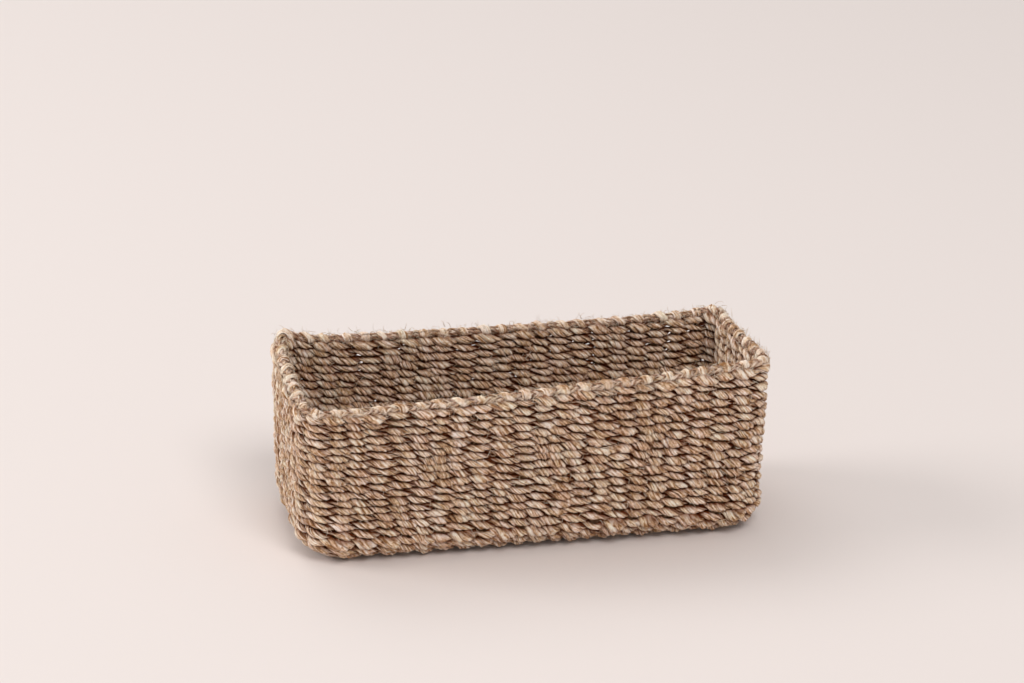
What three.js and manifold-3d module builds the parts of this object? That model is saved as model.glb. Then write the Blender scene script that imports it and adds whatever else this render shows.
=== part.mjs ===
// A small rectangular storage basket of twined seagrass cord.
//
// Flat stakes run across and along the base and turn up into the walls. Courses of paired cord are
// twined round them: loops on the base, rings round the bottom edge, and level rings up the walls.
// In each course one cord lies outside the stakes and one inside, and they meet between stakes.
// A folded border closes the top over the ends of the stakes.
//
// Millimetres, +Z up, +X along the length. The origin is the middle of the underside.

import * as THREE from 'three';
import { ParametricGeometry } from 'three/addons/geometries/ParametricGeometry.js';
import { mergeVertices } from 'three/addons/utils/BufferGeometryUtils.js';
import Module from 'manifold-3d';

// Overall sizes, outside to outside.
const LENGTH = 185;
const WIDTH = 72;
const HEIGHT = 70;

// Shape of the wall.
const WALL = 5.6;
const CORNER_R = 10;
const LOOP_CORNER_R = 2;
const BASE_EDGE_R = 15;

// Courses of twined cord.
const BASE_COURSES = 6;
const EDGE_COURSES = 6;
const WALL_COURSES = 15;
const CORD_CHAMFER = 0.5;
const LUG_OVERLAP = 0.5;

// Stakes, as flat ribbons.
const CROSS_STAKES = 21;
const STAKE_WIDTH = 2;
const STAKE_THICK = 0.8;
const STAKE_MARGIN = 1.5;

// Border.
const BORDER_HEIGHT = 3.6;
const BORDER_CHAMFER = 0.9;
const BORDER_GROOVE = 1.8;

// Gap between neighbours that lie against each other.
const CLEARANCE = 0.3;

// Faces that stand for each plan corner.
const CORNER_STEPS = 3;

// Sizes that follow from those above.
const MID_R = BASE_EDGE_R - WALL / 2;
const ARC = (Math.PI / 2) * MID_R;
const FLAT_HALF_WIDTH = WIDTH / 2 - BASE_EDGE_R;
const WALL_TOP = HEIGHT - BORDER_HEIGHT;
const BASE_PITCH = FLAT_HALF_WIDTH / BASE_COURSES;
const EDGE_PITCH = ARC / EDGE_COURSES;
const WALL_PITCH = (WALL_TOP - BASE_EDGE_R) / WALL_COURSES;
const LONG_STAKES = BASE_COURSES + 1;
const CHANNEL_HALF = CLEARANCE * 1.5 + STAKE_THICK;
const STAKE_TOP = WALL_TOP + BORDER_GROOVE;

const COURSE_MATERIAL = { color: 0xb0967a, roughness: 0.9, metalness: 0 };
const STAKE_MATERIAL = { color: 0x8f7555, roughness: 0.95, metalness: 0 };
const BORDER_MATERIAL = { color: 0xc4aa86, roughness: 0.85, metalness: 0 };

const wasm = await Module();
wasm.setup();

// A place on the shell. `along` runs up the middle of the shell's thickness: below 0 on the flat
// base, 0 to ARC round the bottom edge, and on up the wall. `out` is the distance outside that
// middle. `inset` is how far the place lies inside the basket's outer plan outline.
function shellPoint(along, out) {
  if (along <= 0) {
    return { inset: BASE_EDGE_R - along, z: WALL / 2 - out };
  }
  if (along >= ARC) {
    return { inset: WALL / 2 - out, z: BASE_EDGE_R + along - ARC };
  }
  const angle = along / MID_R;
  return {
    inset: BASE_EDGE_R - (MID_R + out) * Math.sin(angle),
    z: BASE_EDGE_R - (MID_R + out) * Math.cos(angle),
  };
}

// Corner radius of the rounded rectangle that lies `inset` inside the outer outline. It shrinks
// inwards until the base loops turn as tightly as the cord can.
function cornerRadius(inset) {
  return Math.min(Math.max(CORNER_R - inset, LOOP_CORNER_R), WIDTH / 2 - inset);
}

// The points of that rounded rectangle are numbered round its four corner arcs.
const OUTLINE_POINTS = 4 * (CORNER_STEPS + 1);

function outlinePoint(index, inset) {
  const corner = Math.floor(index / (CORNER_STEPS + 1));
  const step = index % (CORNER_STEPS + 1);
  const angle = (Math.PI / 2) * (corner + step / CORNER_STEPS);
  const radius = cornerRadius(inset);
  const signX = corner === 0 || corner === 3 ? 1 : -1;
  const signY = corner < 2 ? 1 : -1;
  return {
    x: signX * (LENGTH / 2 - inset - radius) + radius * Math.cos(angle),
    y: signY * (WIDTH / 2 - inset - radius) + radius * Math.sin(angle),
  };
}

// A closed ring round the basket. `section` lists its corners as [along, out] pairs.
function ringGeometry(section) {
  const count = section.length;
  const place = (u, v, target) => {
    const [along, out] = section[Math.round(v * count) % count];
    const { inset, z } = shellPoint(along, out);
    const { x, y } = outlinePoint(Math.round(u * OUTLINE_POINTS) % OUTLINE_POINTS, inset);
    target.set(x, y, z);
  };
  return new ParametricGeometry(place, OUTLINE_POINTS, count);
}

function weld(geometry) {
  const bare = geometry.index ? geometry.toNonIndexed() : geometry.clone();
  bare.deleteAttribute('normal');
  bare.deleteAttribute('uv');
  return mergeVertices(bare, 1e-4);
}

function toSolid(geometry) {
  const welded = weld(geometry);
  return new wasm.Manifold(
    new wasm.Mesh({
      numProp: 3,
      vertProperties: new Float32Array(welded.attributes.position.array),
      triVerts: new Uint32Array(welded.index.array),
    }),
  );
}

function toGeometry(solid) {
  const mesh = solid.getMesh();
  const geometry = new THREE.BufferGeometry();
  geometry.setAttribute('position', new THREE.BufferAttribute(mesh.vertProperties, 3));
  geometry.setIndex(new THREE.BufferAttribute(mesh.triVerts, 1));
  return geometry;
}

function finished(geometry, name, look) {
  geometry.computeVertexNormals();
  const mesh = new THREE.Mesh(geometry, new THREE.MeshStandardMaterial(look));
  mesh.name = name;
  return mesh;
}

function numbered(stem, index) {
  return `${stem}_${String(index + 1).padStart(2, '0')}`;
}

// Where the cross stakes stand: closer together on the base than up the walls, so that the last
// ones clear the rounded ends of the base.
const CROSS_BASE_HALF = LENGTH / 2 - BASE_EDGE_R - STAKE_WIDTH / 2 - STAKE_MARGIN / 3;
const CROSS_WALL_HALF = LENGTH / 2 - CORNER_R - STAKE_MARGIN;
const LONG_BASE_HALF = BASE_PITCH * BASE_COURSES;
const LONG_WALL_HALF = WIDTH / 2 - CORNER_R - STAKE_MARGIN;

function spread(index, count, half) {
  return half * ((2 * index) / (count - 1) - 1);
}

// How far a stake has moved from its base place to its wall place at height z.
function rise(z) {
  const start = WALL / 2 + STAKE_THICK + CLEARANCE;
  return THREE.MathUtils.clamp((z - start) / (BASE_EDGE_R - start), 0, 1);
}

function crossStakeX(index, z) {
  const base = spread(index, CROSS_STAKES, CROSS_BASE_HALF);
  const wall = spread(index, CROSS_STAKES, CROSS_WALL_HALF);
  return THREE.MathUtils.lerp(base, wall, rise(z));
}

// Two short bridges on each long side join a course's outer and inner cords between stakes.
const LUG_GAPS = [0.25, 0.75].map((share) => Math.floor(share * (CROSS_STAKES - 1)));

function lug(gap, along, low, high, side) {
  const { inset, z } = shellPoint(along, 0);
  const left = crossStakeX(gap, z);
  const right = crossStakeX(gap + 1, z);
  const room = right - left - STAKE_WIDTH - 2 * CLEARANCE;
  const depth = 2 * (CHANNEL_HALF + LUG_OVERLAP);
  const box = new THREE.BoxGeometry(room / 2, high - low, depth);
  const tilt = THREE.MathUtils.clamp(along / MID_R, 0, Math.PI / 2);
  box.translate(0, (low + high) / 2, 0);
  box.rotateX(tilt);
  box.translate((left + right) / 2, WIDTH / 2 - inset, z);
  if (side < 0) {
    box.rotateZ(Math.PI);
    box.translate(left + right, 0, 0);
  }
  return toSolid(box);
}

// One course, from `start` to `end` along the shell: an outer cord ring, an inner cord ring and
// the bridges, which reach `low` to `high` from the course's middle.
function courseGeometry(start, end, low, high) {
  const a = start + CLEARANCE / 2;
  const b = end - CLEARANCE / 2;
  const face = WALL / 2;
  const outer = [
    [a, CHANNEL_HALF],
    [a, face - CORD_CHAMFER],
    [a + CORD_CHAMFER, face],
    [b - CORD_CHAMFER, face],
    [b, face - CORD_CHAMFER],
    [b, CHANNEL_HALF],
  ];
  const inner = [
    [a, -face],
    [a, -CHANNEL_HALF],
    [b, -CHANNEL_HALF],
    [b, -face],
  ];
  let solid = toSolid(ringGeometry(outer)).add(toSolid(ringGeometry(inner)));
  for (const gap of LUG_GAPS) {
    for (const side of [1, -1]) {
      solid = solid.add(lug(gap, (start + end) / 2, low, high, side));
    }
  }
  return toGeometry(solid);
}

// From a course's middle to the near side of a long stake that lies along the course's edge.
function stakeSide(pitch) {
  return STAKE_WIDTH / 2 + CLEARANCE - pitch / 2;
}

// Each base course has a long stake along one of its edges, and its bridges keep to the other.
function baseCourse(index) {
  const start = -FLAT_HALF_WIDTH + index * BASE_PITCH;
  const half = (BASE_PITCH - CLEARANCE) / 2;
  const stakeAtStart = (index + BASE_COURSES) % 2 === 0;
  const low = stakeAtStart ? stakeSide(BASE_PITCH) : -half;
  const high = stakeAtStart ? half : -stakeSide(BASE_PITCH);
  const geometry = courseGeometry(start, start + BASE_PITCH, low, high);
  return finished(geometry, numbered('base_course', index), COURSE_MATERIAL);
}

// The last long stake lies along the start of the first edge course.
function edgeCourse(index) {
  const start = index * EDGE_PITCH;
  const low = index === 0 ? stakeSide(EDGE_PITCH) : -EDGE_PITCH / 4;
  const geometry = courseGeometry(start, start + EDGE_PITCH, low, EDGE_PITCH / 4);
  return finished(geometry, numbered('edge_course', index), COURSE_MATERIAL);
}

function wallCourse(index) {
  const start = ARC + index * WALL_PITCH;
  const geometry = courseGeometry(start, start + WALL_PITCH, -WALL_PITCH / 4, WALL_PITCH / 4);
  return finished(geometry, numbered('wall_course', index), COURSE_MATERIAL);
}

function border() {
  const base = ARC + WALL_TOP - BASE_EDGE_R + CLEARANCE;
  const top = ARC + HEIGHT - BASE_EDGE_R;
  const face = WALL / 2;
  const section = [
    [base, -face],
    [base, -CHANNEL_HALF],
    [base + BORDER_GROOVE, -CHANNEL_HALF],
    [base + BORDER_GROOVE, CHANNEL_HALF],
    [base, CHANNEL_HALF],
    [base, face],
    [top - BORDER_CHAMFER, face],
    [top, face - BORDER_CHAMFER],
    [top, BORDER_CHAMFER - face],
    [top - BORDER_CHAMFER, -face],
  ];
  return finished(weld(ringGeometry(section)), 'folded_border', BORDER_MATERIAL);
}

// The places along the shell where a stake's outline has a corner, from the flat base up.
function stakeStations(first) {
  const stations = [];
  for (let step = 0; step <= EDGE_COURSES; step++) {
    const along = step * EDGE_PITCH;
    if (along >= first) {
      stations.push(along);
    }
  }
  stations.push(ARC + STAKE_TOP - BASE_EDGE_R);
  return stations;
}

// A flat ribbon that runs down one wall, across the base and up the other, in the plane (u, z).
// `half` is half the basket's size in that plane, and `low` and `high` are its two faces.
function hoopGeometry(half, low, high) {
  const side = (out) =>
    stakeStations(0).map((along) => {
      const { inset, z } = shellPoint(along, out);
      return new THREE.Vector2(half - inset, z);
    });
  const flipped = (points) => points.map((p) => new THREE.Vector2(-p.x, p.y)).reverse();
  const outer = side(high);
  const inner = side(low).reverse();
  const outline = [...flipped(outer), ...outer, ...inner, ...flipped(inner)];
  const ribbon = new THREE.ExtrudeGeometry(new THREE.Shape(outline), {
    depth: STAKE_WIDTH,
    bevelEnabled: false,
  });
  ribbon.translate(0, 0, -STAKE_WIDTH / 2);
  return ribbon;
}

// Moves a ribbon's points sideways as they rise, from its base place to its wall place.
function splay(geometry, placeAt) {
  const position = geometry.attributes.position;
  for (let i = 0; i < position.count; i++) {
    position.setZ(i, position.getZ(i) + placeAt(position.getY(i)));
  }
  return geometry;
}

const OUTER_LAYER = [CLEARANCE / 2, CLEARANCE / 2 + STAKE_THICK];
const INNER_LAYER = [-CLEARANCE / 2 - STAKE_THICK, -CLEARANCE / 2];

function crossStake(index) {
  const ribbon = splay(hoopGeometry(WIDTH / 2, ...OUTER_LAYER), (z) => crossStakeX(index, z));
  const upright = new THREE.Matrix4().makeBasis(
    new THREE.Vector3(0, 1, 0),
    new THREE.Vector3(0, 0, 1),
    new THREE.Vector3(1, 0, 0),
  );
  ribbon.applyMatrix4(upright);
  return finished(weld(ribbon), numbered('cross_stake', index), STAKE_MATERIAL);
}

function longStake(index) {
  const base = spread(index, LONG_STAKES, LONG_BASE_HALF);
  const wall = spread(index, LONG_STAKES, LONG_WALL_HALF);
  const placeAt = (z) => -THREE.MathUtils.lerp(base, wall, rise(z));
  const ribbon = splay(hoopGeometry(LENGTH / 2, ...INNER_LAYER), placeAt);
  ribbon.rotateX(Math.PI / 2);
  return finished(weld(ribbon), numbered('long_stake', index), STAKE_MATERIAL);
}

// A short stake set into each plan corner. It stands in the corner's diagonal plane and starts
// part of the way up the bottom edge.
function cornerStake(name, signX, signY) {
  const reach = (along, out) => {
    const { inset, z } = shellPoint(along, out);
    const radius = cornerRadius(inset);
    const along45 = Math.SQRT2 * (inset + radius) - radius;
    return new THREE.Vector2(-along45, z);
  };
  const stations = stakeStations(ARC * (2 / 3) - CLEARANCE);
  const outer = stations.map((along) => reach(along, STAKE_THICK / 2));
  const inner = stations.map((along) => reach(along, -STAKE_THICK / 2));
  const ribbon = new THREE.ExtrudeGeometry(new THREE.Shape([...outer, ...inner.reverse()]), {
    depth: STAKE_WIDTH,
    bevelEnabled: false,
  });
  ribbon.translate(0, 0, -STAKE_WIDTH / 2);
  ribbon.rotateX(Math.PI / 2);
  ribbon.rotateZ(Math.atan2(signY, signX));
  ribbon.translate((signX * LENGTH) / 2, (signY * WIDTH) / 2, 0);
  return finished(weld(ribbon), name, STAKE_MATERIAL);
}

const basket = new THREE.Group();

for (let i = 0; i < BASE_COURSES; i++) {
  basket.add(baseCourse(i));
}
for (let i = 0; i < EDGE_COURSES; i++) {
  basket.add(edgeCourse(i));
}
for (let i = 0; i < WALL_COURSES; i++) {
  basket.add(wallCourse(i));
}
for (let i = 0; i < CROSS_STAKES; i++) {
  basket.add(crossStake(i));
}
for (let i = 0; i < LONG_STAKES; i++) {
  basket.add(longStake(i));
}
basket.add(cornerStake('corner_stake_front_left', -1, -1));
basket.add(cornerStake('corner_stake_front_right', 1, -1));
basket.add(cornerStake('corner_stake_back_left', -1, 1));
basket.add(cornerStake('corner_stake_back_right', 1, 1));
basket.add(border());

export default basket;
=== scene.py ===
"""A small twined seagrass basket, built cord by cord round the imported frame.

Every course is a pair of twisted cords, of four plies each, that pass outside one stake and inside
the next. The places of the stakes and courses come from the frame. A gentle warp then gives the
walls and rim the unevenness of a hand-made basket. Lengths are in millimetres until a mesh is made.
"""

import math

import bpy
import numpy as np
from mathutils import Matrix, Vector


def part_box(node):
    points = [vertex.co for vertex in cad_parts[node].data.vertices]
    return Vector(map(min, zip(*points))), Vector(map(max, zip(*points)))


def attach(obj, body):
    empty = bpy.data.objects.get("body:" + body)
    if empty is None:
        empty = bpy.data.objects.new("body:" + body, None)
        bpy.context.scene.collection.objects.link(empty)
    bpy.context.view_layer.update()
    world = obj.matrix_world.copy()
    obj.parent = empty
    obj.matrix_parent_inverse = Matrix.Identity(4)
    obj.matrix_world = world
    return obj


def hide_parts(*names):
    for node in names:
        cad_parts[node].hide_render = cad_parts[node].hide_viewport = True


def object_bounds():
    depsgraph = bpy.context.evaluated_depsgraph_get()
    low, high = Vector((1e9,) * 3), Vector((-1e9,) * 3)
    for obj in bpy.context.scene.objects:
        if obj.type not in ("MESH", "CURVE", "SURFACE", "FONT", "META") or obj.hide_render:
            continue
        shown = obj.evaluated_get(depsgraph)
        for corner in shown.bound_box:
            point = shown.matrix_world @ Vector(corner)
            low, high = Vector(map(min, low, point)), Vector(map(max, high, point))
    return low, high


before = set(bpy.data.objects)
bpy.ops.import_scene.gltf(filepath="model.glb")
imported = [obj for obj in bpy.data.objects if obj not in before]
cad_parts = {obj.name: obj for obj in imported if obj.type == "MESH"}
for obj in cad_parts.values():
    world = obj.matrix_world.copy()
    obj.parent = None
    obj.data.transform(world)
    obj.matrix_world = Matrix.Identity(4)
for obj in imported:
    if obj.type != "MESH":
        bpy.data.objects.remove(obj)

MM = 0.001
CAD_LOW, CAD_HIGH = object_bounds()


def corners(node):
    """A CAD node's lowest and highest corner, in millimetres."""
    low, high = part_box(node)
    return np.array(low) / MM, np.array(high) / MM


def count(stem):
    """How many CAD nodes have a name that starts with `stem`."""
    return sum(name.startswith(stem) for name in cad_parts)


# --- Sizes read from the frame -------------------------------------------------------------------

LENGTH, WIDTH, HEIGHT = ((CAD_HIGH[i] - CAD_LOW[i]) / MM for i in range(3))
CLEARANCE = 0.3
WALL = corners("base_course_01")[1][2]
EDGE_R = corners("wall_course_01")[0][2] - CLEARANCE / 2
WALL_TOP = corners("folded_border")[0][2] - CLEARANCE
MID_R = EDGE_R - WALL / 2
ARC = math.pi / 2 * MID_R
FLAT = WIDTH / 2 - EDGE_R
RIM = ARC + WALL_TOP - EDGE_R

BASE_COURSES, EDGE_COURSES, WALL_COURSES = (
    count(stem) for stem in ("base_course", "edge_course", "wall_course")
)
CROSS_STAKES, LONG_STAKES = count("cross_stake"), count("long_stake")
CORNER_STAKES = 4
COLUMNS = 2 * (CROSS_STAKES + LONG_STAKES) + CORNER_STAKES
WALL_PITCH = (WALL_TOP - EDGE_R) / WALL_COURSES
# About how far apart the stakes stand round the walls, and in the base's loops.
COLUMN_PITCH = 8.0
BASE_COLUMN_PITCH = 7.6

# Plan corners are tighter at the rim than at the bottom edge.
RIM_CORNER_R = 10.0
LOW_CORNER_R = 15.0
LOOP_CORNER_R = 2.5

# --- Cord ----------------------------------------------------------------------------------------

# A cord is twisted from plies, and each ply is a tube: how far its middle lies from the cord's, and
# its half-widths towards the cord's middle and round it.
PLIES = 4
PLY_OFFSET = 0.88
PLY_RADIAL = 0.78
PLY_ROUND = 0.90
PLY_SIDES = 9
STEPS_PER_COLUMN = 14
TURNS_PER_COLUMN = (0.78, 1.0)
# How far out a pass lies, how far the cord drops towards a crossing, the share of that drop that is
# spread evenly along the pass, and how much the cord thins in height and fills in depth there.
CORD_REACH = 1.72
CROSSING_DROP = 0.90
EVEN_DROP = 0.5
CROSSING_SQUEEZE = 0.48
CROSSING_FILL = 0.4
# The way in and out is a plain wave at 1, and squarer at less.
CORD_SQUARENESS = 0.98
# Unevenness of a whole course, and between its two cords, which is more in a thick course.
SIZE_SPREAD = 0.045
PAIR_SPREAD, PAIR_BULK = 0.07, 0.45
# Unevenness along a cord: its height, its thickness, its drop and its twist.
SWELL_TALL, SWELL_THICK = 0.18, 0.11
SLIP_DROP, SLIP_TWIST = 0.18, 0.35
# Unevenness of a ply: its place round the cord, its size, and ridges over so many steps.
PLY_SHIFT = 0.3
PLY_SWELL = 0.15
RIDGE, RIDGE_REACH = 0.13, 4
# Painted shade: a strand nearer the shell than this is in a hollow and painted dark, and one
# this much further out is clear of it. The upper and lower edges of a pass and the grooves
# between plies get painted shade too.
HOLLOW_OUT, HOLLOW_FADE = 1.4, 1.25
EDGE_SHADE, EDGE_POWER = 0.65, 4
GROOVE_MIDDLE, GROOVE_RANGE, GROOVE_LEAST = 0.62, 0.8, 0.42
# How tone and tint vary along a ply and from ply to ply.
TONE_LEAF, TONE_GRAIN, TONE_SPREAD = 0.05, 0.06, 0.03
TINT_MIDDLE, TINT_RANGE = 0.5, 0.25


class Wander:
    """Smooth random unevenness round the basket, the same each run. It repeats every `period`."""

    def __init__(self, seed, low, high, period=60.0, drift=0.0, terms=10):
        rng = np.random.default_rng(seed)
        self.waves = rng.integers(low, high + 1, terms) * (2 * math.pi / period)
        self.phases = rng.uniform(0, 2 * math.pi, terms)
        self.drifts = rng.normal(0, drift, terms)
        self.scale = math.sqrt(2 / terms)

    def __call__(self, place, level=0.0):
        place = np.asarray(place, float)
        total = np.zeros(np.broadcast(place, level).shape)
        for wave, phase, drift in zip(self.waves, self.phases, self.drifts):
            total = total + np.cos(wave * place + phase + drift * level)
        return total * self.scale


# --- The shell that the weave follows ------------------------------------------------------------


def inset_of(along):
    """How far the middle of the shell lies inside the outer plan outline."""
    along = np.asarray(along, float)
    angle = np.clip(along / MID_R, 0, math.pi / 2)
    return EDGE_R - MID_R * np.sin(angle) - np.minimum(along, 0)


def plan_radius(along):
    """Corner radius of the plan outline at the middle of the shell."""
    inset = inset_of(along)
    rise = np.clip((np.asarray(along) - ARC) / (RIM - ARC), 0, 1)
    outer = LOW_CORNER_R + (RIM_CORNER_R - LOW_CORNER_R) * rise
    return np.minimum(np.maximum(outer - inset, LOOP_CORNER_R), WIDTH / 2 - inset)


def perimeter(along):
    """Length of the mid-shell outline at this level."""
    inset, radius = inset_of(along), plan_radius(along)
    return 2 * (LENGTH + WIDTH - 4 * inset) - (8 - 2 * math.pi) * radius


def outline(share, along):
    """Points and outward plan directions of the mid-shell outline, `share` of the way round.

    The share runs anticlockwise from the middle of the front wall.
    """
    inset, radius = inset_of(along), plan_radius(along)
    half_x, half_y = LENGTH / 2 - inset - radius, WIDTH / 2 - inset - radius
    quarter = half_x + half_y + radius * math.pi / 2
    travel = np.mod(share, 1.0) * 4 * quarter
    part = np.minimum(np.floor(travel / quarter), 3)
    travel = travel - part * quarter
    odd = np.mod(part, 2) == 1
    first, second = np.where(odd, half_y, half_x), np.where(odd, half_x, half_y)
    turn = np.clip((travel - first) / np.maximum(radius, 1e-6), 0, math.pi / 2)
    past = np.maximum(travel - first - radius * math.pi / 2, 0)
    forward = np.minimum(travel, first) + radius * np.sin(turn)
    sideways = -(second + radius * np.cos(turn)) + past
    out_forward, out_sideways = np.sin(turn), -np.cos(turn)
    spin = part * math.pi / 2
    c, s = np.cos(spin), np.sin(spin)
    x, y = c * forward - s * sideways, s * forward + c * sideways
    nx, ny = c * out_forward - s * out_sideways, s * out_forward + c * out_sideways
    return x, y, nx, ny


FRONT_MIDDLE_COLUMN = (CROSS_STAKES - 1) / 2
# The turn from base to wall is this much fuller than a quarter circle, most of it low down.
FOOT_FULLNESS = 1.5
FOOT_SKEW = 1.3


def shell(column, along, out=0.0, columns=COLUMNS):
    """The point at a column round the basket and a distance up the shell, `out` outside it.

    Returns the point and the shell's outward direction there.
    """
    column, along, out = np.broadcast_arrays(
        np.asarray(column, float), np.asarray(along, float), np.asarray(out, float)
    )
    x, y, nx, ny = outline((column - FRONT_MIDDLE_COLUMN) / columns, along)
    angle = np.clip(along / MID_R, 0, math.pi / 2)
    fullness = FOOT_FULLNESS * (1 - np.clip(-nx, 0, 1))
    out = out + fullness * np.sin(math.pi * (angle / (math.pi / 2)) ** FOOT_SKEW)
    z = EDGE_R - MID_R * np.cos(angle) + np.maximum(along - ARC, 0)
    normal = np.stack([nx * np.sin(angle), ny * np.sin(angle), -np.cos(angle)], -1)
    return np.stack([x, y, z], -1) + normal * out[..., None], normal


# --- Hand-made unevenness ------------------------------------------------------------------------

# How high the rim really stands at the four corners, and how much the front dips between them.
RIM_FRONT_LEFT, RIM_FRONT_RIGHT = 65.4, 76.2
RIM_BACK_LEFT, RIM_BACK_RIGHT = 69.2, 68.9
FRONT_DIP = 1.6
# The two back corners are drawn up to peaks this high, about this wide.
PEAK_RIGHT, PEAK_LEFT, PEAK_WIDTH = 2.8, 4.2, 11.0
# How far each wall leans or bows outwards at mid-length, at the rim.
BOW_FRONT, BOW_BACK, BOW_LEFT, BOW_RIGHT = 0.7, -2.7, 1.9, -1.0
LEAN_RIGHT = 0.002
# The underside is pressed flat: what lies below this height is drawn in above the floor.
PRESSED = 1.2


def warp(points):
    """Moves points of the regular basket to where the uneven, hand-made one has them."""
    x, y, z = points[..., 0], points[..., 1], points[..., 2]
    u = np.clip(x / LENGTH + 0.5, 0, 1)
    w = np.clip(y / WIDTH + 0.5, 0, 1)
    front = (1 - u) * RIM_FRONT_LEFT + u * RIM_FRONT_RIGHT - FRONT_DIP * 4 * u * (1 - u)
    back = (1 - u) * RIM_BACK_LEFT + u * RIM_BACK_RIGHT
    rim = (1 - w) * front + w * back
    for end, peak in ((1, PEAK_RIGHT), (-1, PEAK_LEFT)):
        corner = np.hypot(x - end * LENGTH / 2, y - WIDTH / 2) / PEAK_WIDTH
        rim = rim + peak * np.exp(-(corner**2))
    lift = (rim - EDGE_R) / (HEIGHT - EDGE_R)
    height = np.where(z > EDGE_R, EDGE_R + (z - EDGE_R) * lift, z)
    height = np.where(z < PRESSED, PRESSED * np.exp((z - PRESSED) / PRESSED), height)
    share = np.clip(z / HEIGHT, 0, 1)
    across, along = 4 * w * (1 - w), 4 * u * (1 - u)
    dy = (w * BOW_BACK - (1 - w) * BOW_FRONT) * along * share
    dx = (u**3 * BOW_RIGHT - (1 - u) ** 3 * BOW_LEFT) * across * share
    return np.stack([x + dx + LEAN_RIGHT * z, y + dy, height], -1)


# How far the rows rise and fall in long waves and short ones, and the columns stray sideways.
row_wave = Wander(seed=11, low=1, high=9, drift=0.05)
row_ripple = Wander(seed=12, low=10, high=26, drift=0.35)
column_sway = Wander(seed=13, low=2, high=12, drift=0.12)

ROW_WAVE = 0.22
ROW_RIPPLE = 0.14
COLUMN_SWAY = 0.15

# --- Tubes ---------------------------------------------------------------------------------------

# A tube's map: 0.1 for each millimetre along it, and 1 for once round it.
MAP_SCALE = (0.1, 1.0)


def unit(v):
    """Vectors at length 1."""
    return v / np.maximum(np.linalg.norm(v, axis=-1, keepdims=True), 1e-9)


def ring_of(side_a, side_b, sides):
    """Cross-sections with half-widths side_a and side_b. The first corner lies at -side_a."""
    angle = np.arange(sides) * (2 * math.pi / sides) + math.pi
    return (
        np.cos(angle)[:, None] * side_a[..., None, :]
        + np.sin(angle)[:, None] * side_b[..., None, :]
    )


def ridges(rng, steps, sides, reach, amount):
    """Lengthwise ridges, as of leaf edges, that fade in and out over about `reach` steps."""
    noise = np.fft.rfft(rng.normal(0, 1, (steps, sides)), axis=0)
    pitch = np.fft.rfftfreq(steps)
    noise = noise * np.exp(-0.5 * (2 * math.pi * pitch * reach) ** 2)[:, None]
    noise = np.fft.irfft(noise, steps, axis=0)
    return 1 + amount * noise / noise.std()


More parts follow.
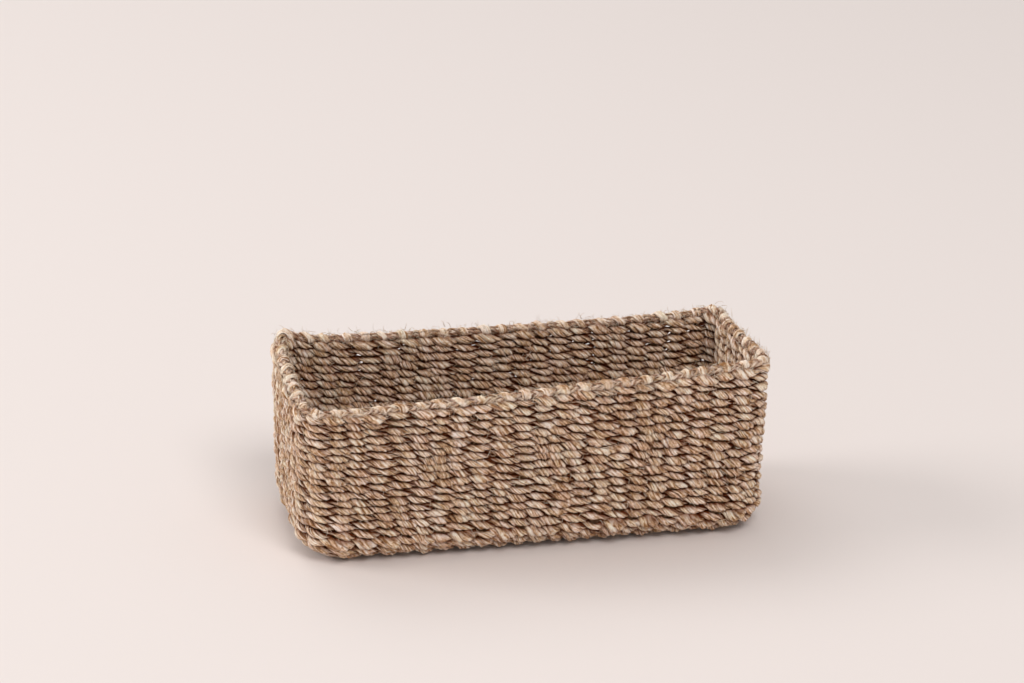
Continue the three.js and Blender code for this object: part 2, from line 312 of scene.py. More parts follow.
class Strands:
    """Collects tubes into one mesh, with a map along each tube and tones for its points."""

    def __init__(self):
        self.points, self.faces, self.maps = [], [], []
        # Tone, tint, and painted shade that darkens each point's colour in the material.
        self.values = {"tone": [], "tint": [], "depth": []}
        self.total = 0

    def tubes(self, path, ring, closed, **values):
        """Tubes along paths (tube, step, 3), with cross-sections (tube, step, side, 3)."""
        batch, steps, sides = ring.shape[:3]
        self.points.append((path[:, :, None] + ring).reshape(-1, 3))
        gap = np.linalg.norm(np.roll(path, -1, axis=1) - path, axis=2)
        travel = np.concatenate([np.zeros((batch, 1)), np.cumsum(gap, axis=1)], axis=1)
        ahead = path[:, 1] - path[:, 0]
        turning = np.cross(ring[:, 0, 0], ring[:, 0, 1])
        forward = 1 if np.sum(turning * ahead) > 0 else -1
        last = steps if closed else steps - 1
        first = self.total + np.arange(batch)[:, None, None] * steps * sides
        i = np.arange(last)[None, :, None]
        j = np.arange(sides)[None, None, :]
        near, far = first + i * sides, first + (i + 1) % steps * sides
        after = (j + 1) % sides
        quads = np.stack([near + j, near + after, far + after, far + j], -1)
        self.faces.append(quads[..., ::forward].reshape(-1, 4))
        u0, u1 = travel[:, :last, None] + 0.0 * j, travel[:, 1 : last + 1, None] + 0.0 * j
        v0, v1 = j / sides + 0.0 * u0, (j + 1) / sides + 0.0 * u0
        flat = np.stack([u0, v0, u0, v1, u1, v1, u1, v0], -1).reshape(-1, 4, 2)
        self.maps.append(flat[:, ::forward] * MAP_SCALE)
        for label, kept in self.values.items():
            value = np.asarray(values.get(label, 0.0), float)
            while value.ndim < 3:
                value = value[..., None]
            kept.append(np.broadcast_to(value, (batch, steps, sides)).ravel())
        if not closed:
            self.close_ends(first.ravel(), steps, sides, forward)
        self.total += batch * steps * sides

    def close_ends(self, first, steps, sides, forward):
        """Flat caps for the two ends of open tubes, in quads and at most one triangle each."""
        for start, way in ((first, -forward), (first + (steps - 1) * sides, forward)):
            loop = np.arange(sides)[::way]
            for k in range(1, sides - 1, 2):
                corners_of = loop[[0, k, k + 1, min(k + 2, sides - 1)]]
                self.faces.append(start[:, None] + corners_of)
                self.maps.append(np.zeros((len(start), 4, 2)))

    def mesh(self, name):
        """All tubes so far as one warped mesh. A quad with a repeated corner is a triangle."""
        points = warp(np.concatenate(self.points)) * MM
        faces = np.concatenate(self.faces)
        flat = np.concatenate(self.maps).reshape(-1, 2)
        triangle = faces[:, 2] == faces[:, 3]
        keep = np.ones(faces.shape, bool)
        keep[triangle, 3] = False
        starts = np.concatenate([[0], np.cumsum(np.where(triangle, 3, 4))[:-1]])
        mesh = bpy.data.meshes.new(name)
        mesh.vertices.add(len(points))
        mesh.vertices.foreach_set("co", points.astype(np.float32).ravel())
        mesh.loops.add(int(keep.sum()))
        mesh.loops.foreach_set("vertex_index", faces[keep].astype(np.int32))
        mesh.polygons.add(len(faces))
        mesh.polygons.foreach_set("loop_start", starts.astype(np.int32))
        mesh.polygons.foreach_set("use_smooth", np.ones(len(faces), bool))
        layer = mesh.uv_layers.new(name="strand")
        layer.data.foreach_set("uv", flat[keep.ravel()].astype(np.float32).ravel())
        for label, kept in self.values.items():
            attribute = mesh.attributes.new(label, "FLOAT", "POINT")
            attribute.data.foreach_set("value", np.concatenate(kept).astype(np.float32))
        mesh.update()
        mesh.validate()
        return mesh


# --- Materials -----------------------------------------------------------------------------------


# Noise as scale, detail, roughness and share of the tone. Leaves and fibres follow a strand's map,
# and patches and specks lie in space.
LEAVES = ((1.4, 4.0, 1.0), 1.0, 0.5, 0.8)
FIBRE_STREAKS = ((2.4, 9.0, 1.0), 4.0, 0.75, 3.2)
PATCHES = ((110.0, 110.0, 110.0), 2.0, 0.5, 0.3)
SPECKS = ((900.0, 900.0, 900.0), 2.0, 0.6, 0.8)
# Where a strand of ordinary tone falls on the ramp, and where its three colours lie.
MEAN_LEVEL = 0.5
RAMP_DARK, RAMP_MIDDLE, RAMP_LIGHT = 0.16, 0.44, 0.84
# The hue goes from pinkish to yellowish with the patches and a strand's tint.
PINKISH = (1.03, 0.96, 0.96, 1)
YELLOWISH = (1.0, 0.98, 0.90, 1)
HUE_PATCHES, HUE_GAIN, HUE_BASE = 1.6, 1.1, -0.93
SPECULAR = 0.13
SHEEN, SHEEN_ROUGHNESS = 0.02, 0.5
# Fibres vary the roughness over this range, and stand this many metres proud.
ROUGHNESS_RANGE = 0.3
BUMP_STRENGTH, BUMP_METRES, BUMP_LEAVES = 0.9, 0.00045, 0.8


def seagrass(name, dark, middle, light, gap, roughness):
    """Dry twisted leaf: fibres along the strand, patches of tone, and painted shade to `gap`."""
    material = bpy.data.materials.new(name)
    material.use_nodes = True
    nodes, links = material.node_tree.nodes, material.node_tree.links
    nodes.clear()

    def feed(socket, source):
        if isinstance(source, bpy.types.NodeSocket):
            links.new(source, socket)
        else:
            socket.default_value = source

    def maths(operation, *sources):
        made = nodes.new("ShaderNodeMath")
        made.operation = operation
        for socket, source in zip(made.inputs, sources):
            feed(socket, source)
        return made.outputs["Value"]

    def noise(vector, scale, detail, rough):
        stretch = nodes.new("ShaderNodeMapping")
        stretch.inputs["Scale"].default_value = scale
        links.new(vector, stretch.inputs["Vector"])
        made = nodes.new("ShaderNodeTexNoise")
        made.inputs["Scale"].default_value = 1.0
        made.inputs["Detail"].default_value = detail
        made.inputs["Roughness"].default_value = rough
        links.new(stretch.outputs["Vector"], made.inputs["Vector"])
        return made.outputs["Fac"]

    def attribute(label):
        made = nodes.new("ShaderNodeAttribute")
        made.attribute_name = label
        return made.outputs["Fac"]

    def blend(kind, factor, first, second):
        made = nodes.new("ShaderNodeMix")
        made.data_type = "RGBA"
        made.blend_type = kind
        for label, source in (("Factor", factor), ("A", first), ("B", second)):
            feed(made.inputs[label], source)
        return made.outputs["Result"]

    output = nodes.new("ShaderNodeOutputMaterial")
    shader = nodes.new("ShaderNodeBsdfPrincipled")
    shader.inputs["Specular IOR Level"].default_value = SPECULAR
    shader.inputs["Sheen Weight"].default_value = SHEEN
    shader.inputs["Sheen Roughness"].default_value = SHEEN_ROUGHNESS
    links.new(shader.outputs["BSDF"], output.inputs["Surface"])

    strand = nodes.new("ShaderNodeUVMap")
    strand.uv_map = "strand"
    along = strand.outputs["UV"]
    place = nodes.new("ShaderNodeTexCoord").outputs["Object"]
    leaves, fibres = noise(along, *LEAVES[:3]), noise(along, *FIBRE_STREAKS[:3])
    patches, specks = noise(place, *PATCHES[:3]), noise(place, *SPECKS[:3])

    level = maths("ADD", attribute("tone"), MEAN_LEVEL)
    grains = (leaves, LEAVES), (fibres, FIBRE_STREAKS), (patches, PATCHES), (specks, SPECKS)
    for grain, kind in grains:
        level = maths("MULTIPLY_ADD", maths("SUBTRACT", grain, 0.5), kind[3], level)
    ramp = nodes.new("ShaderNodeValToRGB")
    stops = ramp.color_ramp.elements
    stops[0].position, stops[0].color = RAMP_DARK, (*dark, 1)
    stops[1].position, stops[1].color = RAMP_LIGHT, (*light, 1)
    stops.new(RAMP_MIDDLE).color = (*middle, 1)
    links.new(level, ramp.inputs["Fac"])

    hue = maths("MULTIPLY_ADD", patches, HUE_PATCHES, attribute("tint"))
    hue = maths("MULTIPLY_ADD", hue, HUE_GAIN, HUE_BASE)
    tints = blend("MIX", hue, PINKISH, YELLOWISH)
    tinted = blend("MULTIPLY", 1.0, ramp.outputs["Color"], tints)
    # Painted shade: the attribute below darkens the colour towards `gap`.
    shaded = blend("MULTIPLY", attribute("depth"), tinted, (*gap, 1))
    links.new(shaded, shader.inputs["Base Color"])

    rough = maths("MULTIPLY_ADD", fibres, -ROUGHNESS_RANGE, roughness + ROUGHNESS_RANGE / 2)
    links.new(rough, shader.inputs["Roughness"])
    height = maths("MULTIPLY_ADD", leaves, BUMP_LEAVES, fibres)
    bump = nodes.new("ShaderNodeBump")
    bump.inputs["Strength"].default_value = BUMP_STRENGTH
    bump.inputs["Distance"].default_value = BUMP_METRES
    links.new(height, bump.inputs["Height"])
    links.new(bump.outputs["Normal"], shader.inputs["Normal"])
    return material


CORD_LOOK = seagrass(
    "seagrass_cord",
    dark=(0.31, 0.15, 0.058),
    middle=(0.78, 0.53, 0.335),
    light=(1.0, 0.93, 0.84),
    gap=(0.20, 0.05, 0.0),
    roughness=0.55,
)
BORDER_LOOK = seagrass(
    "seagrass_border",
    dark=(0.31, 0.15, 0.058),
    middle=(0.76, 0.52, 0.325),
    light=(1.0, 0.91, 0.79),
    gap=(0.20, 0.05, 0.0),
    roughness=0.5,
)
STAKE_LOOK = seagrass(
    "seagrass_stake",
    dark=(0.12, 0.065, 0.033),
    middle=(0.28, 0.18, 0.11),
    light=(0.45, 0.33, 0.22),
    gap=(0.5, 0.38, 0.27),
    roughness=0.7,
)


def add_piece(strands, name, node, look):
    """Makes the strands a piece of the basket, which stands for the CAD node if one is given."""
    mesh = strands.mesh(name)
    mesh.materials.append(look)
    piece = bpy.data.objects.new(name, mesh)
    bpy.context.scene.collection.objects.link(piece)
    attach(piece, "root")
    if node:
        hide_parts(node)


# --- Courses -------------------------------------------------------------------------------------


def row_scale(column, along, pitch, columns):
    """How much further apart the rows lie here than `pitch`, as at the corners of the base."""
    above, _ = shell(column, along + pitch / 2, 0, columns)
    below, _ = shell(column, along - pitch / 2, 0, columns)
    return np.linalg.norm(above - below, axis=1) / pitch


def painted_cord_light(reached, out, normal, up, half_tall):
    """Painted light of a ply's points: 0 in a hollow, in painted shade, to 1 on top of a pass."""
    outward = np.abs(np.einsum("ijk,ik->ij", reached, normal) + out[:, None])
    upward = np.abs(np.einsum("ijk,ik->ij", reached, up)) / half_tall[:, None]
    facing = np.cos(np.arange(PLY_SIDES) * 2 * math.pi / PLY_SIDES + math.pi)
    shown = np.clip((outward - HOLLOW_OUT) / HOLLOW_FADE, 0, 1)
    shown = shown * (1 - EDGE_SHADE * np.clip(upward, 0, 1) ** EDGE_POWER)
    return shown * np.clip(GROOVE_MIDDLE + GROOVE_RANGE * facing, GROOVE_LEAST, 1)


def twined_course(strands, seed, along, pitch, columns, bulk):
    """A pair of twisted cords round the basket at one level."""
    rng = np.random.default_rng(seed)
    steps = columns * STEPS_PER_COLUMN
    column = np.arange(steps) * (columns / steps)
    turns = int(round(columns * rng.uniform(*TURNS_PER_COLUMN) / bulk**2))
    fullness = bulk * rng.normal(1.0, SIZE_SPREAD)
    uneven = rng.normal(0, PAIR_SPREAD) + (bulk - 1) * PAIR_BULK
    size = pitch / WALL_PITCH
    spread = row_scale(column, along, pitch, columns) * size * fullness
    spot = column * COLUMNS / columns
    wave = ROW_WAVE * row_wave(spot, along) + ROW_RIPPLE * row_ripple(spot, along)
    wave = wave * np.clip(along / ARC, 0, 1)
    sway = COLUMN_SWAY * column_sway(spot, along)
    for cord in range(2):
        swell = Wander(seed * 10 + cord, columns // 4, columns, columns, terms=14)(column)
        slip = Wander(seed * 10 + cord + 5, 2, columns // 3, columns)(column)
        turn = math.pi * (column + cord)
        square = np.sqrt(np.cos(turn) ** 2 + CORD_SQUARENESS * np.sin(turn) ** 2)
        out = CORD_REACH * bulk * np.cos(turn) / square
        lean = EVEN_DROP + (1 - EVEN_DROP) * np.sin(turn) ** 2
        drop = -CROSSING_DROP * size * np.sin(turn) * lean
        drop = drop * (1 + SLIP_DROP * slip)
        squeeze = 1 - CROSSING_SQUEEZE * np.sin(turn) ** 4
        centre, normal = shell(column + sway, along + drop + wave, out, columns)
        tangent = unit(np.roll(centre, -1, axis=0) - np.roll(centre, 1, axis=0))
        normal = unit(normal - tangent * np.sum(normal * tangent, axis=1, keepdims=True))
        up = np.cross(normal, tangent)
        own = 1 + uneven * (1 - 2 * cord)
        tall = ((1 + SWELL_TALL * swell) * spread * squeeze * own)[:, None]
        thick = ((1 + SWELL_THICK * swell) * (2 - squeeze) ** CROSSING_FILL * own)[:, None]
        twist = -2 * math.pi * turns * column / columns + SLIP_TWIST * slip
        for ply in range(PLIES):
            phase = (twist + 2 * math.pi * ply / PLIES + rng.uniform(0, PLY_SHIFT))[:, None]
            own_seed = seed * 40 + cord * PLIES + ply
            grain = Wander(own_seed, columns // 3, 2 * columns, columns)(column)
            leaf = Wander(own_seed + 10, 3, columns // 2, columns)(column)
            hue = Wander(own_seed + 20, 2, columns, columns)(column)
            plump = 1 + PLY_SWELL * grain[:, None]
            radial = np.cos(phase) * normal * thick + np.sin(phase) * up * tall
            around = -np.sin(phase) * normal * thick + np.cos(phase) * up * tall
            path = centre + PLY_OFFSET * radial
            ring = ring_of(radial * PLY_RADIAL * plump, around * PLY_ROUND * plump, PLY_SIDES)
            ring = ring * ridges(rng, steps, PLY_SIDES, RIDGE_REACH, RIDGE)[..., None]
            reached = path[:, None] + ring - centre[:, None]
            # Painted shade: hollows, the edges of a pass and the grooves between plies are
            # darkened.
            shown = painted_cord_light(reached, out, normal, up, 0.5 * pitch * spread)
            strands.tubes(
                path[None],
                ring[None],
                True,
                tone=(TONE_LEAF * leaf + TONE_GRAIN * grain + rng.normal(0, TONE_SPREAD))[None],
                tint=(TINT_MIDDLE + TINT_RANGE * hue)[None],
                depth=(1 - shown)[None],
            )


def course_levels():
    """(node name, level up the shell, pitch, columns) for every course, from the base's middle."""
    levels = []
    pitch = FLAT / BASE_COURSES
    for i in range(BASE_COURSES):
        along = -FLAT + (i + 0.5) * pitch
        columns = 2 * int(round(perimeter(along) / (2 * BASE_COLUMN_PITCH)))
        levels.append((f"base_course_{i + 1:02d}", along, pitch, columns))
    pitch = ARC / EDGE_COURSES
    for i in range(EDGE_COURSES):
        levels.append((f"edge_course_{i + 1:02d}", (i + 0.5) * pitch, pitch, COLUMNS))
    for i in range(WALL_COURSES):
        along = ARC + (i + 0.5) * WALL_PITCH
        levels.append((f"wall_course_{i + 1:02d}", along, WALL_PITCH, COLUMNS))
    return levels


COURSE_SEED = 100
# Two courses where the base turns up into the wall, and the top one, are laid in a thicker cord.
THICK_COURSES = {"edge_course_04": 1.08, "edge_course_05": 1.28, "wall_course_15": 1.12}

for order, (node, along, pitch, columns) in enumerate(course_levels()):
    strands = Strands()
    bulk = THICK_COURSES.get(node, 1.0)
    twined_course(strands, COURSE_SEED + order, along, pitch, columns, bulk)
    add_piece(strands, node + "_cord", node, CORD_LOOK)


# --- Stakes --------------------------------------------------------------------------------------

STAKE_STEP = 2.0
STAKE_HALF_THICK, STAKE_HALF_WIDE = 0.5, 2.2
STAKE_SIDES = 10
# How many columns away the point lies that gives a stake's sideways direction.
LOOK_AHEAD = 0.05
# The cross stakes lie this far outside the middle of the shell, and the long ones inside it.
STAKE_LAYER = 0.5
# The corner stakes start this share of the way up the turn from base to wall.
CORNER_START = 0.55
STAKE_WAVER, STAKE_RIDGE, STAKE_RIDGE_REACH = 0.08, 0.08, 6
# How much a stake's tone varies, its tint, and how much painted shade darkens the whole stake.
STAKE_TONE, STAKE_TINT, STAKE_PAINTED_SHADE = 0.1, 0.4, 0.7
CROSS_SEED, LONG_SEED, CORNER_SEED = 500, 540, 560


def ribbon(strands, path, across, seed):
    """A flat stake along a path, with its width along `across`."""
    tangent = unit(np.gradient(path, axis=0))
    side = unit(across - tangent * np.sum(across * tangent, axis=1, keepdims=True))
    face = np.cross(tangent, side)
    waver = Wander(seed, 1, 9, 60)(np.linspace(0, 50, len(path)))
    wide = (STAKE_HALF_WIDE * (1 + STAKE_WAVER * waver))[:, None]
    ring = ring_of(side * wide, face * STAKE_HALF_THICK, STAKE_SIDES)
    rng = np.random.default_rng(seed)
    ring = ring * ridges(rng, len(path), STAKE_SIDES, STAKE_RIDGE_REACH, STAKE_RIDGE)[..., None]
    strands.tubes(
        path[None],
        ring[None],
        False,
        tone=STAKE_TONE * waver[None],
        tint=STAKE_TINT,
        depth=STAKE_PAINTED_SHADE,
    )


def stake_rise(column, first, out):
    """The part of a stake from `first` along the shell up to the border."""
    along = np.arange(first, RIM + 1.0, STAKE_STEP)
    sway = COLUMN_SWAY * column_sway(np.full(len(along), float(column)), along)
    points, _ = shell(column + sway, along, out)
    ahead, _ = shell(column + sway + LOOK_AHEAD, along, out)
    return points, unit(ahead - points)


def hoop(strands, column, opposite, out, seed):
    """A stake from rim to rim across the base, between two facing columns."""
    near, near_side = stake_rise(column, 0, out)
    far, far_side = stake_rise(opposite, 0, out)
    steps = max(3, int(np.linalg.norm(near[0] - far[0]) / (3 * STAKE_STEP)))
    share = np.linspace(0, 1, steps + 1)[1:-1, None]
    floor = far[0] * share + near[0] * (1 - share)
    floor_side = near_side[0] * (1 - share) - far_side[0] * share
    path = np.concatenate([near[::-1], floor, far])
    side = np.concatenate([near_side[::-1], floor_side, -far_side])
    ribbon(strands, path, side, seed)


for i in range(CROSS_STAKES):
    strands = Strands()
    hoop(strands, i, COLUMNS / 2 + CROSS_STAKES - 1 - i, STAKE_LAYER, CROSS_SEED + i)
    node = f"cross_stake_{i + 1:02d}"
    add_piece(strands, node + "_reed", node, STAKE_LOOK)
for i in range(LONG_STAKES):
    strands = Strands()
    right = CROSS_STAKES + 1 + i
    hoop(strands, right, COLUMNS - 2 - i, -STAKE_LAYER, LONG_SEED + i)
    node = f"long_stake_{i + 1:02d}"
    add_piece(strands, node + "_reed", node, STAKE_LOOK)
for i, corner in enumerate(("front_right", "back_right", "back_left", "front_left")):
    strands = Strands()
    column = (CROSS_STAKES, COLUMNS / 2 - 1, COLUMNS / 2 + CROSS_STAKES, COLUMNS - 1)[i]
    path, side = stake_rise(column, ARC * CORNER_START, 0.0)
    ribbon(strands, path, side, CORNER_SEED + i)
    node = "corner_stake_" + corner
    add_piece(strands, node + "_reed", node, STAKE_LOOK)


# --- Border --------------------------------------------------------------------------------------


def smooth_path(knots, steps):
    """A Catmull-Rom curve through the knots."""
    knots = np.asarray(knots, float)
    padded = np.vstack([2 * knots[0] - knots[1], knots, 2 * knots[-1] - knots[-2]])
    t = np.linspace(0, len(knots) - 1, steps)
    i = np.minimum(t.astype(int), len(knots) - 2)
    f = (t - i)[:, None]
    a, b, c, d = padded[i], padded[i + 1], padded[i + 2], padded[i + 3]
    square = (2 * a - 5 * b + 4 * c - d) * f**2
    cube = (3 * b - a - 3 * c + d) * f**3
    return 0.5 * (2 * b + (c - a) * f + square + cube)


# Each stake's end comes up inside, wraps over the rim as a few thin leaves and is tucked away
# outside: columns along, millimetres out and millimetres above the top course.
WRAP = [
    (-0.10, -0.9, -0.9),
    (-0.11, -1.9, 0.0),
    (-0.07, -2.0, 1.2),
    (0.00, -0.8, 2.3),
    (0.06, 0.8, 2.3),
    (0.11, 2.0, 1.2),
    (0.14, 2.1, 0.1),
    (0.16, 1.1, -0.9),
]
# The height about which the outer leaves of a wrap are drawn in, so that it makes a round knot.
KNOT_MIDDLE = 0.7
INNER_DRAW, OUTER_DRAW = 1.06, 0.10
WRAP_LEAVES = 6
WRAP_GAP = 0.068
WRAP_STEPS = 20
# A leaf of a wrap: half its width, how flat it is, and its share of the width along its length.
LEAF_R = 0.37
LEAF_FLATNESS = 0.9
LEAF_TAPER = ((0, 0.15, 0.85, 1), (0.7, 1, 1, 0.5))
LEAF_SIDES = 8
LEAF_RIDGE, LEAF_RIDGE_REACH = 0.17, 3
# Unevenness of a knot: its points (columns, millimetres out and up), slant, place and size.
KNOT_JITTER = (0.02, 0.09, 0.08)
KNOT_SLANT = (0.3, 2.2)
KNOT_SHIFT = 0.08
KNOT_SPREAD = 0.12
# Unevenness of a leaf in its knot: its points and its width.
LEAF_JITTER = (0.014, 0.12, 0.10)
LEAF_SPREAD = 0.12
# Tone of a leaf, how it varies from knot to knot and leaf to leaf, and the range of its tint.
LEAF_TONE, KNOT_TONE_SPREAD, LEAF_TONE_SPREAD = 0.21, 0.07, 0.20
LEAF_TINTS = (0.1, 0.6)
# A leaf is shaded below this height over so many millimetres, and the outer leaves a little more.
LEAF_SHADE_TOP, LEAF_SHADE_FADE, OUTER_SHADE = 0.5, 1.5, 0.12
# Two-ply runs from knot to knot along the rim: millimetres out and above the top course.
RUNS = ((1.15, 0.75), (-1.15, 0.65), (0.0, -0.1), (0.0, 1.3))
RUN_TURNS = (84, -78, 71, -66)
RUN_STEPS_PER_COLUMN = 10
# A run rises between knots, most at this share of the way, and ripples.
RUN_LIFT, RUN_LIFT_PLACE, RUN_RIPPLE, RUN_SLIP = 0.25, 0.3, 0.12, 0.3
RUN_PLY_OFFSET, RUN_PLY_RADIAL, RUN_PLY_ROUND, RUN_SWELL = 0.5, 0.50, 0.66, 0.14
RUN_SIDES = 8
RUN_RIDGE, RUN_RIDGE_REACH = 0.13, 4
RUN_TONE, RUN_TONE_RANGE = 0.06, 0.12
RUN_TINT, RUN_TINT_RANGE = 0.3, 0.25
# Painted shade on a run's plies: darker where a ply lies on the inner side of the run.
RUN_SHADE, RUN_SHADE_RANGE = 0.45, 0.3
# Tips the shell's outward direction up at the rim, where a leaf turns over.
RIM_UPWARD = np.array([0.0, 0.0, 0.6])
BORDER_SEED = 77


def rim_frame(path, normal):
    """Directions across a leaf's width and out of its face, as it turns over the rim."""
    tangent = unit(np.gradient(path, axis=-2))
    side = unit(np.cross(tangent, normal + RIM_UPWARD))
    return side, np.cross(side, tangent)


def wrap(strands, rng, column):
    """One stake's end, bound over the rim as a knot of thin leaves."""
    knots = np.array(WRAP) + rng.normal(0, 1, (len(WRAP), 3)) * KNOT_JITTER
    knots[:, 0] = knots[:, 0] * rng.uniform(*KNOT_SLANT) + rng.normal(0, KNOT_SHIFT)
    knots[:, 1:] *= rng.normal(1.0, KNOT_SPREAD)
    hue = rng.normal(0, KNOT_TONE_SPREAD)
    for leaf in range(WRAP_LEAVES):
        off_middle = leaf - (WRAP_LEAVES - 1) / 2
        own = knots + rng.normal(0, 1, knots.shape) * LEAF_JITTER
        drawn = INNER_DRAW - OUTER_DRAW * abs(off_middle)
        own[:, 0] += off_middle * WRAP_GAP
        own[:, 1] *= drawn
        own[:, 2] = KNOT_MIDDLE + (own[:, 2] - KNOT_MIDDLE) * drawn
        curve = smooth_path(own, WRAP_STEPS)
        path, normal = shell(column + curve[:, 0], RIM + curve[:, 2], curve[:, 1])
        side, face = rim_frame(path, normal)
        half = np.interp(np.linspace(0, 1, WRAP_STEPS), *LEAF_TAPER)
        half = (half * LEAF_R * rng.normal(1, LEAF_SPREAD))[:, None]
        ring = ring_of(side * half, face * half * LEAF_FLATNESS, LEAF_SIDES)
        ring = ring * ridges(rng, WRAP_STEPS, LEAF_SIDES, LEAF_RIDGE_REACH, LEAF_RIDGE)[..., None]
        shade = (LEAF_SHADE_TOP - curve[:, 2]) / LEAF_SHADE_FADE + OUTER_SHADE * abs(off_middle)
        strands.tubes(
            path[None],
            ring[None],
            False,
            tone=LEAF_TONE + hue + rng.normal(0, LEAF_TONE_SPREAD),
            tint=rng.uniform(*LEAF_TINTS),
            depth=np.clip(shade, 0, 1)[None],
        )


def rim_run(strands, rng, out, rise, turns):
    """A two-ply strand from knot to knot, right round the rim."""
    steps = COLUMNS * RUN_STEPS_PER_COLUMN
    column = np.arange(steps) * (COLUMNS / steps)
    ripple = Wander(abs(turns) * 3, 20, 90)(column)
    lift = RUN_LIFT * np.sin(2 * math.pi * (column - RUN_LIFT_PLACE)) + RUN_RIPPLE * ripple
    centre, normal = shell(column, RIM + rise + lift, out)
    tangent = unit(np.roll(centre, -1, axis=0) - np.roll(centre, 1, axis=0))
    up = np.cross(normal, tangent)
    for ply in range(2):
        phase = 2 * math.pi * turns * column / COLUMNS + math.pi * ply + RUN_SLIP * ripple
        phase = phase[:, None]
        radial = np.cos(phase) * normal + np.sin(phase) * up
        around = -np.sin(phase) * normal + np.cos(phase) * up
        grain = Wander(abs(turns) * 7 + ply, 20, 120)(column)
        half = 1 + RUN_SWELL * grain[:, None]
        ring = ring_of(radial * RUN_PLY_RADIAL * half, around * RUN_PLY_ROUND * half, RUN_SIDES)
        ring = ring * ridges(rng, steps, RUN_SIDES, RUN_RIDGE_REACH, RUN_RIDGE)[..., None]
        strands.tubes(
            (centre + RUN_PLY_OFFSET * radial)[None],
            ring[None],
            True,
            tone=(RUN_TONE + RUN_TONE_RANGE * grain)[None],
            tint=(RUN_TINT + RUN_TINT_RANGE * ripple)[None],
            depth=(RUN_SHADE - RUN_SHADE_RANGE * np.clip(np.cos(phase), -1, 1))[None],
        )


rng = np.random.default_rng(BORDER_SEED)
strands = Strands()
for column in range(COLUMNS):
    wrap(strands, rng, column)
for (out, rise), turns in zip(RUNS, RUN_TURNS):
    rim_run(strands, rng, out, rise, turns)
add_piece(strands, "folded_border_ends", "folded_border", BORDER_LOOK)


# --- Loose fibres --------------------------------------------------------------------------------

# Hairs all over, on the rim, and a few long ones: the seed, how many, from and to which level, then
# the range of lengths, of radii, how far they lift off and how far they stray from the twist.
HAIR_SETS = (
    (801, 5000, 0.0, RIM, (1.2, 3.6), (0.06, 0.12), (0.1, 0.3), 0.5),
    (802, 2200, RIM - 2, RIM + 2.5, (1.2, 3.6), (0.06, 0.11), (0.3, 0.6), 1.6),
    (803, 70, ARC, RIM, (4.0, 9.0), (0.07, 0.13), (0.6, 0.6), 0.9),
)
# A hair's width at each step along it, and how much of them lie on the inside and the outside.
HAIR_TAPER = np.array([1.0, 1.0, 0.9, 0.7, 0.3])
HAIR_SIDES = 3
HAIR_INSIDE, HAIR_OUTSIDE = 0.4, 0.6
# The direction of the twist that hairs follow, how much they turn off it and how much they bend.
HAIR_SLANT, HAIR_TURN, HAIR_BEND = -0.6, 0.5, 0.6
# Where they start, in millimetres from the middle of the shell, and how their lift grows.
HAIR_OUT, HAIR_OUT_RANGE, HAIR_LIFT_POWER = 2.2, (-0.3, 0.5), 1.5
HAIR_TONE, HAIR_TONE_SPREAD, HAIR_TINT = 0.15, 0.12, 0.6

CURLS, CURL_SEED = 90, 804
CURL_STEPS, CURL_SIDES = 14, 4
# How far a curl turns, its radius and how much that closes, where it lies and how thick it is.
CURL_SWEEP = (2.6, 6.5)
CURL_R, CURL_CLOSING = (0.5, 1.25), 0.35
CURL_INSIDE, CURL_OUTSIDE = 0.35, 0.65
CURL_RISE, CURL_OUT, CURL_LIFT = (-1.5, 2.3), (1.4, 2.4), (0, 1.0)
CURL_HALF, CURL_TAPER = (0.09, 0.16), 0.5
CURL_TONE, CURL_TONE_SPREAD, CURL_TINT = 0.1, 0.1, 0.4

# Stray straws: column, level up the shell, millimetres out, then how far it runs and lifts.
STRAWS = (
    (39.75, RIM - 12.6, -2.5, 2.6, 5.2, -1.0),
    (38.9, RIM - 12.4, -2.5, -2.2, 3.9, -1.2),
    (38.45, RIM - 12.0, -2.5, 2.0, 2.4, -0.8),
    (40.6, RIM + 1.0, -0.4, 1.8, 2.6, -0.4),
    (5.2, 26.0, 2.4, -2.4, 1.6, 1.2),
    (12.6, 47.0, 2.4, 2.6, 1.9, 1.0),
)
STRAW_STEPS, STRAW_SIDES = 6, 5
STRAW_HALF, STRAW_TAPER = 0.13, 0.4
STRAW_TONE, STRAW_TINT = 0.45, 0.3


def hairs(strands, seed, count, low, high, lengths, radii, lifts, stray):
    """Fine hairs that start in a cord's surface, follow its twist and lift off at the end."""
    rng = np.random.default_rng(seed)
    column = rng.uniform(0, COLUMNS, (count, 1))
    along = rng.uniform(low, high, (count, 1))
    side = rng.choice([-1.0, 1.0], (count, 1), p=[HAIR_INSIDE, HAIR_OUTSIDE])
    length = rng.uniform(*lengths, (count, 1))
    radius = rng.uniform(*radii, (count, 1, 1))
    lift = np.abs(rng.normal(*lifts, (count, 1)))
    t = np.linspace(0, 1, len(HAIR_TAPER))[None]
    angle = rng.normal(HAIR_SLANT, stray, (count, 1)) + rng.normal(0, HAIR_TURN, (count, 1)) * t
    angle = angle + rng.normal(0, HAIR_BEND, (count, 1)) * t
    reach = length * t
    off = HAIR_OUT + rng.uniform(*HAIR_OUT_RANGE, (count, 1)) + lift * t**HAIR_LIFT_POWER
    column = column + reach * np.cos(angle) / COLUMN_PITCH
    path, normal = shell(column, along + reach * np.sin(angle), side * off)
    tangent = unit(np.gradient(path, axis=1))
    across = unit(np.cross(tangent, normal))
    half = radius * HAIR_TAPER[None, :, None]
    ring = ring_of(across * half, np.cross(across, tangent) * half, HAIR_SIDES)
    tone = rng.normal(HAIR_TONE, HAIR_TONE_SPREAD, (count, 1))
    strands.tubes(path, ring, False, tone=tone, tint=HAIR_TINT, depth=0.0)


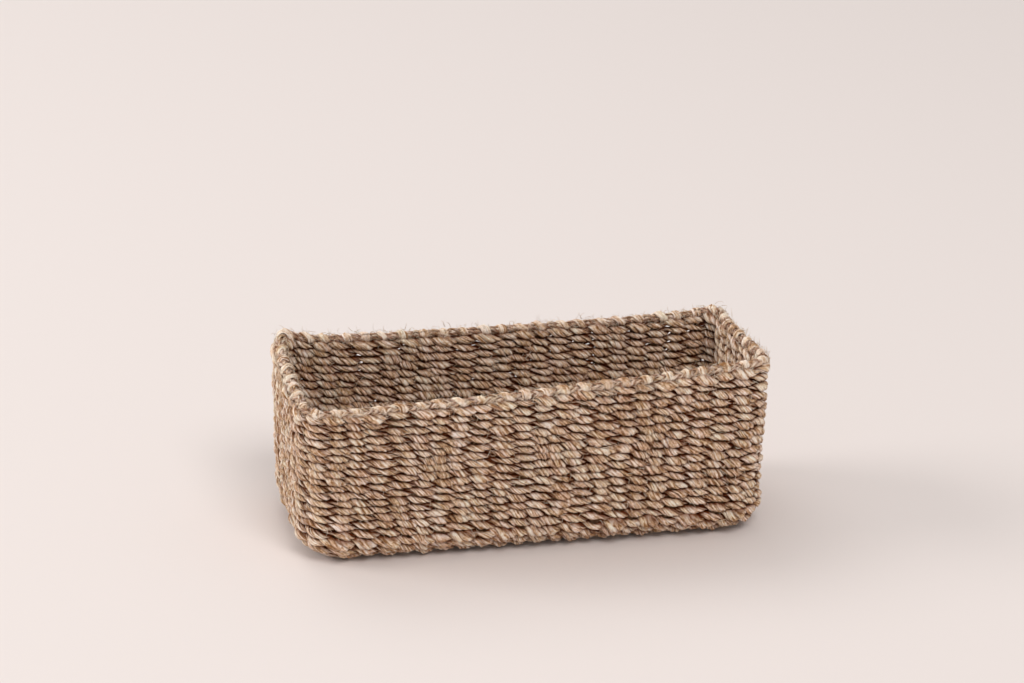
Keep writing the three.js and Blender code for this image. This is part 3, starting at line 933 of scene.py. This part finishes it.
def curls(strands, seed, count):
    """Short ends that have dried into small open rings on the rim."""
    rng = np.random.default_rng(seed)
    one = (count, 1)
    t = np.linspace(0, 1, CURL_STEPS)[None]
    sweep = rng.uniform(*CURL_SWEEP, one) * rng.choice([-1.0, 1.0], one)
    radius = rng.uniform(*CURL_R, one) * (1 - CURL_CLOSING * t)
    angle = rng.uniform(0, 2 * math.pi, one) + sweep * t
    side = rng.choice([-1.0, 1.0], one, p=[CURL_INSIDE, CURL_OUTSIDE])
    column = rng.uniform(0, COLUMNS, one) + radius * np.cos(angle) / COLUMN_PITCH
    rise = RIM + rng.uniform(*CURL_RISE, one) + radius * np.sin(angle)
    off = side * (rng.uniform(*CURL_OUT, one) + rng.uniform(*CURL_LIFT, one) * t)
    path, normal = shell(column, rise, off)
    tangent = unit(np.gradient(path, axis=1))
    across = unit(np.cross(tangent, normal))
    half = rng.uniform(*CURL_HALF, (count, 1, 1)) * (1 - CURL_TAPER * t[..., None])
    ring = ring_of(across * half, np.cross(across, tangent) * half, CURL_SIDES)
    tone = rng.normal(CURL_TONE, CURL_TONE_SPREAD, one)
    strands.tubes(path, ring, False, tone=tone, tint=CURL_TINT, depth=0.0)


def straw(strands, column, along, out, run, rise, lift):
    """One stiff straw that stands off the weave."""
    t = np.linspace(0, 1, STRAW_STEPS)
    path, normal = shell(column + run * t / COLUMN_PITCH, along + rise * t, out + lift * t)
    tangent = unit(np.gradient(path, axis=0))
    across = unit(np.cross(tangent, normal))
    half = STRAW_HALF * (1 - STRAW_TAPER * t[:, None])
    ring = ring_of(across * half, np.cross(across, tangent) * half, STRAW_SIDES)
    strands.tubes(path[None], ring[None], False, tone=STRAW_TONE, tint=STRAW_TINT, depth=0.0)


strands = Strands()
curls(strands, CURL_SEED, CURLS)
for placed in STRAWS:
    straw(strands, *placed)
for kind in HAIR_SETS:
    hairs(strands, *kind)
add_piece(strands, "loose_fibres", None, BORDER_LOOK)


# --- Camera, floor and light ---------------------------------------------------------------------

# The photograph's view: the focal length in pixels of an image this wide, the camera's angles, and
# its distance from the basket's foot and shift across the view, in metres.
FOCAL_PX = 3370.0
IMAGE_WIDTH_PX = 1024.0
SENSOR_MM = 36.0
PITCH, ROLL, YAW = math.radians(22.675), math.radians(1.866), math.radians(14.285)
DISTANCE, RIGHT_SHIFT, UP_SHIFT = 1.3364, 0.00165, -0.06786

turn = Matrix.Rotation(-YAW, 3, "Z")
forward = turn @ Vector((0, math.cos(PITCH), -math.sin(PITCH)))
level_right = turn @ Vector((1, 0, 0))
level_up = level_right.cross(forward)
right = math.cos(ROLL) * level_right + math.sin(ROLL) * level_up
up = math.cos(ROLL) * level_up - math.sin(ROLL) * level_right
eye = -forward * DISTANCE - right * RIGHT_SHIFT - up * UP_SHIFT

camera_data = bpy.data.cameras.new("camera")
camera_data.sensor_width = SENSOR_MM
camera_data.lens = FOCAL_PX / IMAGE_WIDTH_PX * SENSOR_MM
camera = bpy.data.objects.new("camera", camera_data)
bpy.context.scene.collection.objects.link(camera)
pose = Matrix((right, up, -forward)).transposed().to_4x4()
pose.translation = eye
camera.matrix_world = pose
bpy.context.scene.camera = camera


# Soft white discs of light, as name, place, size in metres and power in watts, aimed at the basket.
LIGHTS = (
    ("key", (-2.2, 0.5, 1.2), 1.3, 28.0),
    ("fill", (0.3, -1.7, 2.3), 1.4, 33.0),
    ("top", (-0.5, 1.3, 1.9), 1.6, 10.5),
)
LIGHT_AIM = Vector((0, 0, 0.03))
SKY_STRENGTH = 0.47
FLOOR_HALF = 6.0
FLOOR_COLOR, FLOOR_ROUGHNESS, FLOOR_SPECULAR = (0.79, 0.71, 0.675, 1), 0.8, 0.2


def area_light(name, place, size, power):
    data = bpy.data.lights.new(name, "AREA")
    data.shape = "DISK"
    data.size = size
    data.energy = power
    lamp = bpy.data.objects.new(name, data)
    bpy.context.scene.collection.objects.link(lamp)
    lamp.location = place
    lamp.rotation_euler = (LIGHT_AIM - Vector(place)).to_track_quat("-Z", "Y").to_euler()


for light in LIGHTS:
    area_light(*light)

floor_mesh = bpy.data.meshes.new("floor")
corner_points = [(-FLOOR_HALF, -FLOOR_HALF, 0), (FLOOR_HALF, -FLOOR_HALF, 0)]
corner_points += [(FLOOR_HALF, FLOOR_HALF, 0), (-FLOOR_HALF, FLOOR_HALF, 0)]
floor_mesh.from_pydata(corner_points, [], [(0, 1, 2, 3)])
floor = bpy.data.objects.new("floor", floor_mesh)
bpy.context.scene.collection.objects.link(floor)
floor_look = bpy.data.materials.new("floor")
floor_look.use_nodes = True
floor_shader = floor_look.node_tree.nodes["Principled BSDF"]
floor_shader.inputs["Base Color"].default_value = FLOOR_COLOR
floor_shader.inputs["Roughness"].default_value = FLOOR_ROUGHNESS
floor_shader.inputs["Specular IOR Level"].default_value = FLOOR_SPECULAR
floor_mesh.materials.append(floor_look)

world = bpy.data.worlds.new("studio")
bpy.context.scene.world = world
world.use_nodes = True
sky = world.node_tree.nodes["Background"]
sky.inputs["Color"].default_value = (1.0, 1.0, 1.0, 1)
sky.inputs["Strength"].default_value = SKY_STRENGTH
bpy.context.scene.view_settings.view_transform = "Standard"
